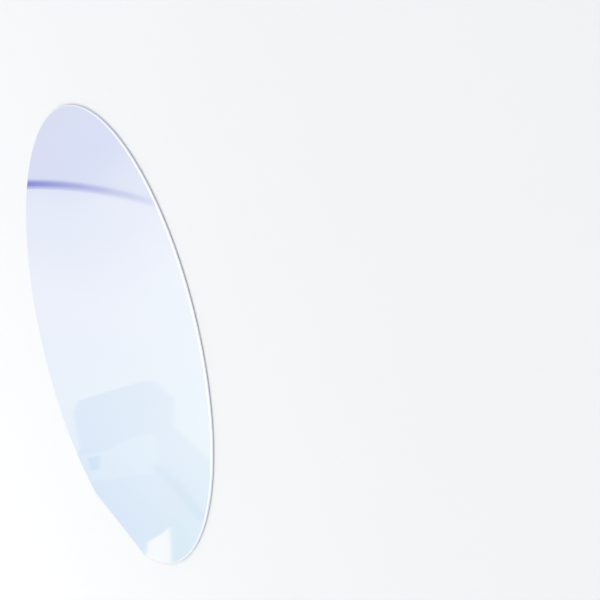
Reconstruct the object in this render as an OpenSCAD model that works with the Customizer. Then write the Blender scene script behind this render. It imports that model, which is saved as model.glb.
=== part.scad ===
// Silicon wafer of the three-inch standard size: a thin round disc of one crystal, with
// one primary flat ground into its edge. It lies on its back face. The origin is the
// centre of the disc on the back face, +Z comes out of the polished front face, and the
// primary flat faces -Y.

/* [Wafer] */
// Diameter across the round edge
wafer_d = 76.2; // [50:0.1:150]
// Thickness between the front and back faces
wafer_t = 0.381; // [0.3:0.001:1]

/* [Primary flat] */
// Length of the chord that the flat takes from the circle
flat_length = 22.22; // [5:0.01:40]

/* [Ground edge] */
// Angle between each bevel and its face, in degrees
bevel_angle = 22; // [15:1:35]
// Radius where each bevel turns into the upright land
nose_r = 0.08; // [0.02:0.005:0.09]
// Height of the upright land at mid-thickness
land_h = 0.1; // [0.04:0.01:0.12]

/* [Hidden] */
$fn = 360;

wafer_r = wafer_d / 2;
// Distance from the centre to the flat
flat_reach = sqrt(wafer_r ^ 2 - (flat_length / 2) ^ 2);

// Heights of the centres of the two nose radii, at the ends of the upright land
nose_low = (wafer_t - land_h) / 2;
nose_high = (wafer_t + land_h) / 2;
// Each bevel is tangent to its nose radius, this far in from the land and from its face
bevel_end_in = nose_r * (1 - sin(bevel_angle));
bevel_end_down = nose_low - nose_r * cos(bevel_angle);
// Width of the ground edge, from the land in to where the polished face begins
edge_w = bevel_end_in + bevel_end_down / tan(bevel_angle);

// A section of the wafer that ends in the ground edge, with its upright land at x = 0,
// its back face along y = 0 and its body running back to x = -depth
module edge_section(depth) {
    polygon([
        [-depth, 0],
        [-edge_w, 0],
        [-bevel_end_in, bevel_end_down],
        [0, nose_low],
        [0, nose_high],
        [-bevel_end_in, wafer_t - bevel_end_down],
        [-edge_w, wafer_t],
        [-depth, wafer_t]
    ]);
    for (nose_z = [nose_low, nose_high])
        translate([-nose_r, nose_z])
            circle(r = nose_r);
}

// The whole disc, with its edge ground all the way round. The section runs past the
// middle line, and only its outer half is turned.
module round_disc() {
    rotate_extrude()
        intersection() {
            translate([wafer_r, 0])
                edge_section(wafer_d);
            translate([0, -wafer_t])
                square([wafer_d, 3 * wafer_t]);
        }
}

// A straight-edged slab that reaches past the disc on every side but the flat's, where
// its edge is ground to the same section
module flat_edged_slab() {
    translate([wafer_d, -flat_reach, 0])
        rotate([90, 0, -90])
            linear_extrude(2 * wafer_d)
                edge_section(2 * wafer_d);
}

module wafer() {
    color("lavender")
        intersection() {
            round_disc();
            flat_edged_slab();
        }
}

wafer();
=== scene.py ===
"""Silicon wafer lying on its back face, with its polished and coated front face up."""

import math

import bpy
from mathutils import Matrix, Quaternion, Vector


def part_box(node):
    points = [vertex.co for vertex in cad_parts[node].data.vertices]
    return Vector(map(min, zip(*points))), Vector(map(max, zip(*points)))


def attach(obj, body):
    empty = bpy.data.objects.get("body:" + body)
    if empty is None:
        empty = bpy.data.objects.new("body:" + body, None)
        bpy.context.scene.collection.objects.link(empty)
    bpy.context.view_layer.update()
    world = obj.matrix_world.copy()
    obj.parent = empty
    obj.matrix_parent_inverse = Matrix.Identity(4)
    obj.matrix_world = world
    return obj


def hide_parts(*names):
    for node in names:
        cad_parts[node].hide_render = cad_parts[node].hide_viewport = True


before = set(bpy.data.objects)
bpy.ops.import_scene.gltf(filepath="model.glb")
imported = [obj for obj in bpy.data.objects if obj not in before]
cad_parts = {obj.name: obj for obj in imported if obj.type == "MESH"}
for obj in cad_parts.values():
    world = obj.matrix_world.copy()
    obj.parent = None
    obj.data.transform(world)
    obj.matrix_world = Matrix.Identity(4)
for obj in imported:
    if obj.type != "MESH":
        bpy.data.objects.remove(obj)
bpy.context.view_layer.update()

bl_info = {
    "name": "Silicon Wafer",
    "version": (1, 0, 0),
    "blender": (4, 5, 0),
    "location": "View3D > Sidebar > Wafer",
    "description": "Builds a polished, film-coated silicon wafer with a primary flat and its studio",
    "category": "Object",
}

WAFER_LOW, WAFER_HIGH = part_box("wafer")
RADIUS = WAFER_HIGH[0]
THICKNESS = WAFER_HIGH[2] - WAFER_LOW[2]
FLAT_REACH = -WAFER_LOW[1]
MILLIMETRE = 0.001

# Material slots of the wafer's mesh
FRONT, EDGE, BACK = range(3)


# ---------------------------------------------------------------- settings

class WaferSettings(bpy.types.PropertyGroup):
    """Sizes and finishes of the wafer that the frame doesn't give"""

    bevel_angle: bpy.props.FloatProperty(
        name="Bevel angle", description="Angle between each edge bevel and its face",
        default=math.radians(22), min=math.radians(15), max=math.radians(35),
        subtype="ANGLE", unit="ROTATION")
    nose_radius: bpy.props.FloatProperty(
        name="Nose radius", description="Radius where a bevel turns into the upright land",
        default=0.00008, min=0.00002, max=0.00009, precision=6, subtype="DISTANCE", unit="LENGTH")
    land_height: bpy.props.FloatProperty(
        name="Land height", description="Height of the upright land at mid-thickness",
        default=0.0001, min=0.00004, max=0.00012, precision=6, subtype="DISTANCE", unit="LENGTH")
    round_segments: bpy.props.IntProperty(
        name="Round segments", description="Steps along the round edge", default=720, min=90)
    flat_segments: bpy.props.IntProperty(
        name="Flat segments", description="Steps along the primary flat", default=24, min=2)
    nose_segments: bpy.props.IntProperty(
        name="Nose segments", description="Steps round each nose radius", default=8, min=3)
    face_rings: bpy.props.IntProperty(
        name="Face rings", description="Rings of faces across each flat side", default=6, min=1)
    front_roughness: bpy.props.FloatProperty(
        name="Front roughness", description="Roughness of the polished front face",
        default=0.045, min=0, max=1, subtype="FACTOR")
    back_roughness: bpy.props.FloatProperty(
        name="Back roughness", description="Roughness of the etched back face",
        default=0.3, min=0, max=1, subtype="FACTOR")
    edge_roughness: bpy.props.FloatProperty(
        name="Edge roughness", description="Roughness of the ground edge",
        default=0.16, min=0, max=1, subtype="FACTOR")
    silicon_colour: bpy.props.FloatVectorProperty(
        name="Silicon colour", description="Bare silicon, as the etched back shows it",
        default=(0.30, 0.31, 0.36), size=3, min=0, max=1, subtype="COLOR")
    edge_colour: bpy.props.FloatVectorProperty(
        name="Edge colour", description="Ground edge under the film",
        default=(0.90, 0.92, 1.00), size=3, min=0, max=1, subtype="COLOR")


class StudioSettings(bpy.types.PropertyGroup):
    """Camera, lights and floor"""

    view_azimuth: bpy.props.FloatProperty(
        name="View azimuth", description="Direction the camera stands in, from -Y towards +X",
        default=math.radians(114.3), subtype="ANGLE", unit="ROTATION")
    view_elevation: bpy.props.FloatProperty(
        name="View elevation", description="Height of the camera above the floor, as an angle",
        default=math.radians(18.1), subtype="ANGLE", unit="ROTATION")
    view_distance: bpy.props.FloatProperty(
        name="View distance", description="From the middle of the wafer to the camera",
        default=0.143, subtype="DISTANCE", unit="LENGTH")
    aim_azimuth: bpy.props.FloatProperty(
        name="Aim azimuth", description="Heading of the camera's axis, turned as the view azimuth is",
        default=math.radians(114.94), subtype="ANGLE", unit="ROTATION")
    aim_drop: bpy.props.FloatProperty(
        name="Aim drop", description="How far the camera's axis points down",
        default=math.radians(31.58), subtype="ANGLE", unit="ROTATION")
    roll: bpy.props.FloatProperty(
        name="Roll", description="Turn of the camera about its own axis",
        default=math.radians(-103.77), subtype="ANGLE", unit="ROTATION")
    lens: bpy.props.FloatProperty(
        name="Lens", description="Focal length in millimetres on a 36 mm sensor",
        default=50.1, min=10, max=200)
    floor_colour: bpy.props.FloatVectorProperty(
        name="Floor colour", description="Pale floor", default=(0.86, 0.86, 0.86),
        size=3, min=0, max=1, subtype="COLOR")
    sky_strength: bpy.props.FloatProperty(
        name="Surround light", description="Brightness of the even light from all round",
        default=1.0, min=0)
    key_power: bpy.props.FloatProperty(
        name="Key light", description="Power of the main soft light", default=0.55, min=0,
        subtype="POWER", unit="POWER")


# ---------------------------------------------------------------- mesh

# Edges that turn by more than this stay crisp
SHARP_ANGLE = math.radians(10)


def edge_profile(s):
    """(inset, height) pairs up the ground edge, from the back face to the front face."""
    low = (THICKNESS - s.land_height) / 2
    end_in = s.nose_radius * (1 - math.sin(s.bevel_angle))
    end_down = low - s.nose_radius * math.cos(s.bevel_angle)
    lower = [(end_in + end_down / math.tan(s.bevel_angle), 0.0)]
    for i in range(s.nose_segments + 1):
        turn = s.bevel_angle + (math.pi / 2 - s.bevel_angle) * i / s.nose_segments
        lower.append((s.nose_radius * (1 - math.sin(turn)),
                      low - s.nose_radius * math.cos(turn)))
    upper = [(inset, THICKNESS - height) for inset, height in reversed(lower)]
    return lower + upper


def outline(inset, height, s):
    """One loop round the wafer at an inset from its outline, anticlockwise from the flat's +X end."""
    radius, reach = RADIUS - inset, FLAT_REACH - inset
    start = -math.asin(reach / radius)
    sweep = math.pi - 2 * start
    loop = []
    for i in range(s.round_segments + 1):
        turn = start + sweep * i / s.round_segments
        loop.append(Vector((radius * math.cos(turn), radius * math.sin(turn), height)))
    left, right = loop[-1], loop[0]
    loop += [left.lerp(right, i / s.flat_segments) for i in range(1, s.flat_segments)]
    return loop


def face_loops(rim, s):
    """Loops from just inside a face's rim towards its middle, evenly spaced."""
    middle = Vector((0, 0, rim[0].z))
    return [[middle.lerp(p, 1 - k / s.face_rings) for p in rim] for k in range(1, s.face_rings)]


def wafer_mesh(s):
    """A closed mesh: the back face from its middle out, up the edge, and in over the front face."""
    edge = [outline(inset, height, s) for inset, height in edge_profile(s)]
    back, front = face_loops(edge[0], s), face_loops(edge[-1], s)
    loops = back[::-1] + edge + front
    count = len(loops[0])
    points = [p for loop in loops for p in loop]
    middle_back = len(points)
    middle_front = middle_back + 1
    points += [Vector((0, 0, 0)), Vector((0, 0, THICKNESS))]
    faces, slots = [], []
    rows = [BACK] * len(back) + [EDGE] * (len(edge) - 1) + [FRONT] * len(front)
    for row, slot in enumerate(rows):
        for i in range(count):
            j = (i + 1) % count
            a, b = row * count, (row + 1) * count
            faces.append((a + i, a + j, b + j, b + i))
            slots.append(slot)
    top = (len(loops) - 1) * count
    for i in range(count):
        j = (i + 1) % count
        faces += [(middle_back, j, i), (middle_front, top + i, top + j)]
        slots += [BACK, FRONT]
    mesh = bpy.data.meshes.new("wafer_disc")
    mesh.from_pydata(points, [], faces)
    mesh.polygons.foreach_set("material_index", slots)
    mesh.polygons.foreach_set("use_smooth", [True] * len(faces))
    mesh.set_sharp_from_angle(angle=SHARP_ANGLE)
    mesh.update()
    return mesh


# ---------------------------------------------------------------- node helpers

def add(tree, kind, **values):
    """A new node with the given settings. A key that names an input sets that input."""
    node = tree.nodes.new(kind)
    for key, value in values.items():
        if hasattr(node, key):
            setattr(node, key, value)
        else:
            node.inputs[key.replace("_", " ")].default_value = value
    return node


def math_node(tree, operation, a, b):
    """A math node on sockets or numbers, and its result."""
    node = add(tree, "ShaderNodeMath", operation=operation)
    for socket, value in zip(node.inputs, (a, b)):
        if isinstance(value, bpy.types.NodeSocket):
            tree.links.new(value, socket)
        else:
            socket.default_value = value
    return node.outputs[0]


def ramp(tree, factor, stops):
    """A colour ramp over (place, colour) stops, fed by factor, and its colour."""
    node = add(tree, "ShaderNodeValToRGB")
    node.color_ramp.interpolation = "EASE"
    elements = node.color_ramp.elements
    while len(elements) < len(stops):
        elements.new(0.5)
    for element, (place, colour) in zip(elements, stops):
        element.position = place
        element.color = (*colour, 1)
    tree.links.new(factor, node.inputs["Fac"])
    return node.outputs["Color"]


def mix_colour(tree, factor, a, b):
    """A colour mix of two sockets or colours, and its result."""
    node = add(tree, "ShaderNodeMix", data_type="RGBA")
    for socket, value in ((node.inputs[0], factor), (node.inputs[6], a), (node.inputs[7], b)):
        if isinstance(value, bpy.types.NodeSocket):
            tree.links.new(value, socket)
        else:
            socket.default_value = value if isinstance(value, float) else (*value, 1)
    return node.outputs[2]


def new_material(name):
    """An empty node material with its Principled shader and tree."""
    material = bpy.data.materials.new(name)
    material.use_nodes = True
    tree = material.node_tree
    tree.nodes.clear()
    shader = add(tree, "ShaderNodeBsdfPrincipled")
    output = add(tree, "ShaderNodeOutputMaterial")
    tree.links.new(shader.outputs[0], output.inputs["Surface"])
    return material, tree, shader


# ---------------------------------------------------------------- node groups

# Film colours along the disc from one side to the other, looked at head on and aslant. Their change
# across the disc is painted light: coloured light on the face, and a reflection that is dimmer on the
# lavender side and brightest in the middle.
HEAD_ON_FILM_AND_PAINTED_LIGHT = [
    (0.00, (0.150, 0.045, 0.300)),
    (0.30, (0.120, 0.050, 0.360)),
    (0.52, (0.060, 0.085, 0.400)),
    (0.74, (0.030, 0.150, 0.400)),
    (1.00, (0.025, 0.260, 0.380)),
]
SLANT_FILM_AND_PAINTED_LIGHT = [
    (0.00, (0.735, 0.762, 0.905)),
    (0.14, (0.728, 0.757, 0.930)),
    (0.26, (0.800, 0.828, 0.950)),
    (0.45, (0.850, 0.885, 0.970)),
    (0.70, (0.830, 0.900, 0.970)),
    (1.00, (0.770, 0.875, 0.955)),
]
# Heading across the wafer along which the film's colours change, as painted light
PAINTED_LIGHT_HEADING = (0.30, -0.95, 0.0)
# The film bows towards the rim as this power of the distance from the middle
BOW_POWER = 3.0
# Facing values between which the sight line goes from head on to well aslant
HEAD_ON_LIMIT, SLANT_LIMIT = 0.28, 0.58


def film_group():
    """Colours of the film over the wafer: they change across the disc as painted light, and bow a
    little.
    """
    group = bpy.data.node_groups.new("wafer_film", "ShaderNodeTree")
    face = group.interface
    mottle = face.new_socket("Mottle", in_out="INPUT", socket_type="NodeSocketFloat")
    mottle.default_value = 0.06
    bow = face.new_socket("Bow", in_out="INPUT", socket_type="NodeSocketFloat")
    bow.default_value = 0.05
    face.new_socket("Head-on colour", in_out="OUTPUT", socket_type="NodeSocketColor")
    face.new_socket("Slant colour", in_out="OUTPUT", socket_type="NodeSocketColor")
    source = add(group, "NodeGroupInput")
    result = add(group, "NodeGroupOutput")
    place = add(group, "ShaderNodeTexCoord").outputs["Object"]
    # Painted light: the colours change along a heading across the disc
    along = add(group, "ShaderNodeVectorMath", operation="DOT_PRODUCT")
    group.links.new(place, along.inputs[0])
    along.inputs[1].default_value = Vector(PAINTED_LIGHT_HEADING).normalized() / (2 * RADIUS)
    across = add(group, "ShaderNodeVectorMath", operation="LENGTH")
    group.links.new(place, across.inputs[0])
    reach = math_node(group, "DIVIDE", across.outputs["Value"], RADIUS)
    bowed = math_node(group, "MULTIPLY", math_node(group, "POWER", reach, BOW_POWER),
                      source.outputs["Bow"])
    noise = add(group, "ShaderNodeTexNoise", Scale=38.0, Detail=2.0, Roughness=0.4)
    group.links.new(place, noise.inputs["Vector"])
    swirl = math_node(group, "MULTIPLY", math_node(group, "SUBTRACT", noise.outputs["Fac"], 0.5),
                      source.outputs["Mottle"])
    # Place on the ramps: the painted light across the disc, with the film's bow and mottle
    film_and_painted_light_place = math_node(group, "ADD", along.outputs["Value"], 0.5)
    film_and_painted_light_place = math_node(group, "ADD", math_node(group, "ADD", film_and_painted_light_place, bowed), swirl)
    group.links.new(ramp(group, film_and_painted_light_place, HEAD_ON_FILM_AND_PAINTED_LIGHT), result.inputs["Head-on colour"])
    group.links.new(ramp(group, film_and_painted_light_place, SLANT_FILM_AND_PAINTED_LIGHT), result.inputs["Slant colour"])
    return group


def grain_group():
    """Fine polish or grinding grain: a mask round 0.5 and a height."""
    group = bpy.data.node_groups.new("surface_grain", "ShaderNodeTree")
    face = group.interface
    scale = face.new_socket("Scale", in_out="INPUT", socket_type="NodeSocketFloat")
    scale.default_value = 2000.0
    face.new_socket("Mask", in_out="OUTPUT", socket_type="NodeSocketFloat")
    face.new_socket("Height", in_out="OUTPUT", socket_type="NodeSocketFloat")
    source = add(group, "NodeGroupInput")
    result = add(group, "NodeGroupOutput")
    place = add(group, "ShaderNodeTexCoord").outputs["Object"]
    coarse = add(group, "ShaderNodeTexNoise", Scale=120.0, Detail=3.0)
    fine = add(group, "ShaderNodeTexNoise", Detail=4.0)
    group.links.new(place, coarse.inputs["Vector"])
    group.links.new(place, fine.inputs["Vector"])
    group.links.new(source.outputs["Scale"], fine.inputs["Scale"])
    group.links.new(coarse.outputs["Fac"], result.inputs["Mask"])
    group.links.new(fine.outputs["Fac"], result.inputs["Height"])
    return group


def use_group(tree, group, **values):
    """The group placed in a material, with its own values."""
    node = add(tree, "ShaderNodeGroup", node_tree=group)
    for key, value in values.items():
        node.inputs[key].default_value = value
    return node


# ---------------------------------------------------------------- materials

def slant_share(tree):
    """How far the line of sight leans over the surface, from 0 head on to 1 well aslant."""
    weight = add(tree, "ShaderNodeLayerWeight", Blend=0.5)
    spread = add(tree, "ShaderNodeMapRange", interpolation_type="SMOOTHSTEP")
    tree.links.new(weight.outputs["Facing"], spread.inputs["Value"])
    spread.inputs["From Min"].default_value = HEAD_ON_LIMIT
    spread.inputs["From Max"].default_value = SLANT_LIMIT
    return spread.outputs["Result"]


def varied_roughness(tree, shader, mask, base, spread):
    """Roughness of base, give or take half of spread, from a mask."""
    shift = math_node(tree, "MULTIPLY", math_node(tree, "SUBTRACT", mask, 0.5), spread)
    tree.links.new(math_node(tree, "ADD", shift, base), shader.inputs["Roughness"])


def grain_bump(tree, shader, height, depth, strength):
    """A fine bump on the shader's normal."""
    bump = add(tree, "ShaderNodeBump", Strength=strength, Distance=depth)
    tree.links.new(height, bump.inputs["Height"])
    tree.links.new(bump.outputs["Normal"], shader.inputs["Normal"])


def polished_front(s, film, grain):
    """Mirror polish under the film: deep colour head on, a pale tint aslant."""
    material, tree, shader = new_material("polished_front")
    shader.inputs["Metallic"].default_value = 1.0
    # The film's colours carry the painted light that changes across the disc
    coat = use_group(tree, film, Mottle=0.07, Bow=0.05)
    haze = use_group(tree, grain, Scale=900.0)
    colour = mix_colour(tree, slant_share(tree), coat.outputs["Head-on colour"],
                        coat.outputs["Slant colour"])
    tree.links.new(colour, shader.inputs["Base Color"])
    varied_roughness(tree, shader, haze.outputs["Mask"], s.front_roughness, spread=0.015)
    return material


def ground_edge(s, film, grain):
    """Ground and etched edge: bright satin with a little of the film's colour."""
    material, tree, shader = new_material("ground_edge")
    shader.inputs["Metallic"].default_value = 1.0
    # The film's colours carry the painted light that changes across the disc
    coat = use_group(tree, film, Mottle=0.1, Bow=0.05)
    grind = use_group(tree, grain, Scale=9000.0)
    colour = mix_colour(tree, 0.35, tuple(s.edge_colour), coat.outputs["Slant colour"])
    tree.links.new(colour, shader.inputs["Base Color"])
    varied_roughness(tree, shader, grind.outputs["Mask"], s.edge_roughness, spread=0.1)
    grain_bump(tree, shader, grind.outputs["Height"], depth=0.00001, strength=0.25)
    return material


def etched_back(s, film, grain):
    """Etched back face: grey silicon with a fine grain and a thin veil of film."""
    material, tree, shader = new_material("etched_back")
    shader.inputs["Metallic"].default_value = 1.0
    # The film's colours carry the painted light that changes across the disc
    coat = use_group(tree, film, Mottle=0.15, Bow=0.05)
    pits = use_group(tree, grain, Scale=5000.0)
    grey = mix_colour(tree, pits.outputs["Mask"], tuple(0.85 * c for c in s.silicon_colour),
                      tuple(1.12 * c for c in s.silicon_colour))
    tree.links.new(mix_colour(tree, 0.25, grey, coat.outputs["Head-on colour"]),
                   shader.inputs["Base Color"])
    varied_roughness(tree, shader, pits.outputs["Mask"], s.back_roughness, spread=0.12)
    grain_bump(tree, shader, pits.outputs["Height"], depth=0.00002, strength=0.4)
    return material


# ---------------------------------------------------------------- stage

def plain_object(name, points, faces, material):
    """A stage mesh from points and faces."""
    mesh = bpy.data.meshes.new(name)
    mesh.from_pydata(points, [], faces)
    mesh.materials.append(material)
    thing = bpy.data.objects.new(name, mesh)
    bpy.context.scene.collection.objects.link(thing)
    return thing


# The floor is open under the wafer and clear from beneath, so that the back face can be seen.
# The wafer covers the opening by HOLE_INSET all round, and FLOOR_GAP parts the two surfaces.
HOLE_INSET = 0.0008
FLOOR_GAP = 0.00002
# The floor is flat out to FLOOR_FLAT from the middle and then sweeps up over FLOOR_RISE. Its
# rim fades into the surround between the heights FADE_LOW and FADE_HIGH.
FLOOR_FLAT, FLOOR_RISE = 0.8, 1.2
FADE_LOW, FADE_HIGH = 0.02, 0.6


def floor_material(s):
    """Matt pale floor with a faint unevenness, clear from beneath, that fades out as it rises."""
    material, tree, shader = new_material("pale_floor")
    place = add(tree, "ShaderNodeTexCoord").outputs["Object"]
    noise = add(tree, "ShaderNodeTexNoise", Scale=60.0, Detail=3.0)
    tree.links.new(place, noise.inputs["Vector"])
    colour = tuple(s.floor_colour)
    tree.links.new(mix_colour(tree, noise.outputs["Fac"], tuple(0.985 * c for c in colour), colour),
                   shader.inputs["Base Color"])
    shader.inputs["Roughness"].default_value = 0.75
    shader.inputs["Specular IOR Level"].default_value = 0.2
    split = add(tree, "ShaderNodeSeparateXYZ")
    tree.links.new(place, split.inputs[0])
    fade = add(tree, "ShaderNodeMapRange", interpolation_type="SMOOTHSTEP")
    fade.inputs["From Min"].default_value = FADE_LOW
    fade.inputs["From Max"].default_value = FADE_HIGH
    tree.links.new(split.outputs["Z"], fade.inputs["Value"])
    beneath = add(tree, "ShaderNodeNewGeometry").outputs["Backfacing"]
    blend = add(tree, "ShaderNodeMixShader")
    tree.links.new(math_node(tree, "MAXIMUM", fade.outputs["Result"], beneath), blend.inputs[0])
    tree.links.new(shader.outputs[0], blend.inputs[1])
    tree.links.new(add(tree, "ShaderNodeBsdfTransparent").outputs[0], blend.inputs[2])
    tree.links.new(blend.outputs[0], tree.get_output_node("ALL").inputs["Surface"])
    return material


def glow_material(name, lowest, highest, low_colour, high_colour):
    """A glowing card whose colour changes from its lowest edge to its highest."""
    material = bpy.data.materials.new(name)
    material.use_nodes = True
    tree = material.node_tree
    tree.nodes.clear()
    place = add(tree, "ShaderNodeTexCoord").outputs["Object"]
    split = add(tree, "ShaderNodeSeparateXYZ")
    tree.links.new(place, split.inputs[0])
    rise = add(tree, "ShaderNodeMapRange")
    rise.inputs["From Min"].default_value = lowest
    rise.inputs["From Max"].default_value = highest
    tree.links.new(split.outputs["Z"], rise.inputs["Value"])
    glow = add(tree, "ShaderNodeEmission")
    tree.links.new(mix_colour(tree, rise.outputs["Result"], low_colour, high_colour),
                   glow.inputs["Color"])
    output = add(tree, "ShaderNodeOutputMaterial")
    tree.links.new(glow.outputs[0], output.inputs["Surface"])
    return material


def screen_headings(azimuth):
    """Level headings from the wafer to the screen, and along the screen towards the flat."""
    away = Vector((-math.sin(azimuth), math.cos(azimuth), 0))
    return away, Vector((-away.y, away.x, 0))


def reflect_only(card):
    """Shows a card in mirrors only, so that it neither lights nor hides anything."""
    card.visible_camera = False
    card.visible_diffuse = False
    card.visible_shadow = False
    card.visible_transmission = False


# The polished face mirrors an upright screen beyond the wafer. Places on it are (across, up)
# in millimetres: across runs level towards the flat, up is the height over the floor. The
# screen's distance from the middle of the wafer, and the step between cards, are in metres.
SCREEN_DISTANCE = 0.25
SCREEN_HALF = 350
SCREEN_TOP = 210
GLOW_TOP = 950
# Each card stands this much nearer the wafer than the one before it
CARD_STEP = 0.0005
# A bowed rod stands in front of the screen, between these heights
ROD_LOW, ROD_HIGH = 48, 134


def rod_place(up):
    """Where the bowed rod stands at a height: a shallow curve through (-77, 66)."""
    rise = up - 66
    return -77 + 0.127 * rise + 0.003 * rise * rise


def rod_line(shift=0, steps=16):
    """Places along the rod from its low end to its high end, shifted across."""
    heights = [ROD_LOW + (ROD_HIGH - ROD_LOW) * i / steps for i in range(steps + 1)]
    return [(rod_place(up) + shift, up) for up in heights]


def rod_card(width):
    """Corners of the rod's strip, up one side and down the other."""
    return rod_line(-width / 2) + rod_line(width / 2)[::-1]


def side_panel():
    """Corners of the panel that stands from the rod out to the end of the screen."""
    return [(-SCREEN_HALF, ROD_LOW)] + rod_line() + [(-SCREEN_HALF, ROD_HIGH)]


# The screen and what stands before it, in order towards the wafer: the name, the colour at
# its lowest edge, the colour at its highest, and its corners
CARDS = [
    ("screen", (0.90, 0.915, 0.97), (1.09, 1.10, 1.04),
     [(-SCREEN_HALF, 8), (SCREEN_HALF, 8), (SCREEN_HALF, SCREEN_TOP), (-SCREEN_HALF, SCREEN_TOP)]),
    ("side_panel", (0.86, 0.875, 0.95), (0.95, 0.985, 0.99), side_panel()),
    ("rod_shade", (0.48, 0.50, 0.80), (0.97, 0.99, 1.00), rod_card(4.4)),
    ("rod", (0.16, 0.18, 0.64), (0.95, 0.98, 1.00), rod_card(2.2)),
    ("low_panel", (0.825, 0.875, 0.97), (0.945, 0.97, 0.985),
     [(52, 50), (47, 59), (29, 60), (25, 64), (24, 96), (26, 102), (37, 109), (50, 106),
      (74, 122), (140, 122), (140, 50)]),
    ("ledge", (0.86, 0.905, 0.98), (0.935, 0.97, 0.99),
     [(48, 50), (51, 71), (48, 83), (50, 96), (68, 93), (65, 74), (60, 50)]),
    ("beam", (0.855, 0.905, 0.965), (0.855, 0.905, 0.965),
     [(63, 89), (79, 97.5), (96, 106), (99, 112), (77, 102), (66, 95)]),
    ("block", (0.76, 0.83, 0.965), (0.80, 0.87, 0.97), [(51, 61), (52, 67), (58, 65), (57, 61)]),
    ("strip", (0.86, 0.92, 0.955), (0.90, 0.95, 0.965), [(91, 91), (92, 101), (118, 95), (118, 86)]),
    ("window", (1.17, 1.08, 1.03), (1.17, 1.08, 1.03),
     [(97, 79), (96, 86), (94, 91), (118, 86), (118, 70)]),
    ("rim_glow", (1.10, 1.10, 1.05), (1.9, 1.9, 1.9),
     [(-SCREEN_HALF, SCREEN_TOP), (SCREEN_HALF, SCREEN_TOP),
      (SCREEN_HALF, GLOW_TOP), (-SCREEN_HALF, GLOW_TOP)]),
]


def add_card(order, name, low_colour, high_colour, corners, azimuth):
    """One flat glowing card on the screen, a step nearer the wafer than the last."""
    away, side = screen_headings(azimuth)
    base = away * (SCREEN_DISTANCE - CARD_STEP * order)
    points = [base + (side * across + Vector((0, 0, up))) * MILLIMETRE for across, up in corners]
    heights = [p.z for p in points]
    material = glow_material("card_" + name, min(heights), max(heights), low_colour, high_colour)
    reflect_only(plain_object("card_" + name, points, [tuple(range(len(points)))], material))


def sweep_mesh(hole, flat_radius, rise_radius, steps=24):
    """Points and faces of a floor from the rim of a hole out to where it sweeps up into a wall."""
    profile = [(flat_radius, 0.0)]
    for i in range(1, steps + 1):
        turn = math.pi / 2 * i / steps
        profile.append((flat_radius + rise_radius * math.sin(turn),
                        rise_radius * (1 - math.cos(turn))))
    points = list(hole)
    for radius, height in profile:
        points += [p.normalized() * radius + Vector((0, 0, height)) for p in hole]
    count = len(hole)
    faces = []
    for row in range(len(profile)):
        a, b = row * count, (row + 1) * count
        for k in range(count):
            j = (k + 1) % count
            faces.append((a + k, b + k, b + j, a + j))
    return points, faces


def add_world(s):
    """Soft light from all round, brightest well above the horizon."""
    world = bpy.data.worlds.new("studio")
    world.use_nodes = True
    tree = world.node_tree
    tree.nodes.clear()
    place = add(tree, "ShaderNodeTexCoord").outputs["Generated"]
    split = add(tree, "ShaderNodeSeparateXYZ")
    tree.links.new(place, split.inputs[0])
    light = ramp(tree, split.outputs["Z"], [
        (0.00, (0.80, 0.82, 0.87)), (0.30, (0.84, 0.86, 0.90)),
        (0.75, (0.98, 0.985, 0.99)), (1.00, (0.90, 0.905, 0.94))])
    sky = add(tree, "ShaderNodeBackground", Strength=s.sky_strength)
    tree.links.new(light, sky.inputs["Color"])
    output = add(tree, "ShaderNodeOutputWorld")
    tree.links.new(sky.outputs[0], output.inputs["Surface"])
    bpy.context.scene.world = world


# The main light stands past the far side of the wafer, turned off the camera's line
KEY_TURN = 0.5
KEY_RISE = math.radians(50)
KEY_DISTANCE = 0.5
KEY_SIZE = 0.22


def soft_light(name, place, size, power):
    """A square soft light aimed at the wafer, which the polished face doesn't mirror."""
    lamp = bpy.data.lights.new(name, "AREA")
    lamp.shape = "SQUARE"
    lamp.size = size
    lamp.energy = power
    thing = bpy.data.objects.new(name, lamp)
    thing.location = place
    thing.rotation_mode = "QUATERNION"
    thing.rotation_quaternion = (-Vector(place)).to_track_quat("-Z", "Y")
    thing.visible_glossy = False
    bpy.context.scene.collection.objects.link(thing)


def heading(azimuth, rise):
    """Unit vector from the wafer towards an azimuth and a rise above the floor."""
    return Vector((math.sin(azimuth) * math.cos(rise), -math.cos(azimuth) * math.cos(rise),
                   math.sin(rise)))


def add_camera(s):
    """The camera, rolled so that the wafer stands on end in its view."""
    lens = bpy.data.cameras.new("camera")
    lens.lens = s.lens
    lens.sensor_width = 36
    lens.clip_start, lens.clip_end = 0.001, 50
    camera = bpy.data.objects.new("camera", lens)
    camera.location = heading(s.view_azimuth, s.view_elevation) * s.view_distance
    aim = -heading(s.aim_azimuth, s.aim_drop)
    camera.rotation_mode = "QUATERNION"
    camera.rotation_quaternion = aim.to_track_quat("-Z", "Y") @ Quaternion((0, 0, 1), s.roll)
    bpy.context.scene.collection.objects.link(camera)
    bpy.context.scene.camera = camera


# ---------------------------------------------------------------- operators and panel

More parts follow.
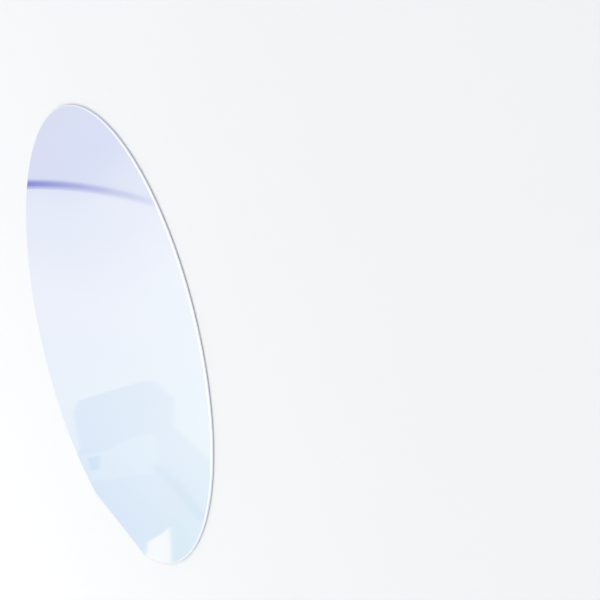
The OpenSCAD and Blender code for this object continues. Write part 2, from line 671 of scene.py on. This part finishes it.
class WAFER_OT_disc(bpy.types.Operator):
    """Builds the wafer with its ground edge, primary flat and finishes"""

    bl_idname = "wafer.disc"
    bl_label = "Build wafer"

    def execute(self, context):
        s = context.scene.wafer_settings
        piece = bpy.data.objects.new("wafer_disc", wafer_mesh(s))
        context.scene.collection.objects.link(piece)
        film, grain = film_group(), grain_group()
        for finish in (polished_front, ground_edge, etched_back):
            piece.data.materials.append(finish(s, film, grain))
        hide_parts("wafer")
        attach(piece, "root")
        return {"FINISHED"}


class WAFER_OT_studio(bpy.types.Operator):
    """Builds the pale floor, the soft light, the mirrored cards and the camera"""

    bl_idname = "wafer.studio"
    bl_label = "Build studio"

    def execute(self, context):
        s = context.scene.studio_settings
        hole = outline(HOLE_INSET, 0.0, context.scene.wafer_settings)
        points, faces = sweep_mesh(hole, FLOOR_FLAT, FLOOR_RISE)
        floor = plain_object("floor", points, faces, floor_material(s))
        floor.location.z = -FLOOR_GAP
        floor.data.polygons.foreach_set("use_smooth", [True] * len(faces))
        for order, (name, low_colour, high_colour, corners) in enumerate(CARDS):
            add_card(order, name, low_colour, high_colour, corners, s.view_azimuth)
        add_world(s)
        beyond = heading(s.view_azimuth + math.pi + KEY_TURN, KEY_RISE)
        soft_light("key", beyond * KEY_DISTANCE, KEY_SIZE, s.key_power)
        add_camera(s)
        context.scene.view_settings.view_transform = "Standard"
        return {"FINISHED"}


class WAFER_PT_panel(bpy.types.Panel):
    """Lists the build steps and their settings"""

    bl_label = "Silicon Wafer"
    bl_idname = "WAFER_PT_panel"
    bl_space_type = "VIEW_3D"
    bl_region_type = "UI"
    bl_category = "Wafer"

    def draw(self, context):
        layout = self.layout
        for operator, settings in ((WAFER_OT_disc, context.scene.wafer_settings),
                                   (WAFER_OT_studio, context.scene.studio_settings)):
            layout.operator(operator.bl_idname)
            for name in settings.__annotations__:
                layout.prop(settings, name)


CLASSES = (WaferSettings, StudioSettings, WAFER_OT_disc, WAFER_OT_studio, WAFER_PT_panel)


def register():
    for cls in CLASSES:
        bpy.utils.register_class(cls)
    bpy.types.Scene.wafer_settings = bpy.props.PointerProperty(type=WaferSettings)
    bpy.types.Scene.studio_settings = bpy.props.PointerProperty(type=StudioSettings)


def unregister():
    del bpy.types.Scene.studio_settings
    del bpy.types.Scene.wafer_settings
    for cls in reversed(CLASSES):
        bpy.utils.unregister_class(cls)


def main():
    register()
    bpy.ops.wafer.disc()
    bpy.ops.wafer.studio()


if __name__ == "__main__":
    main()
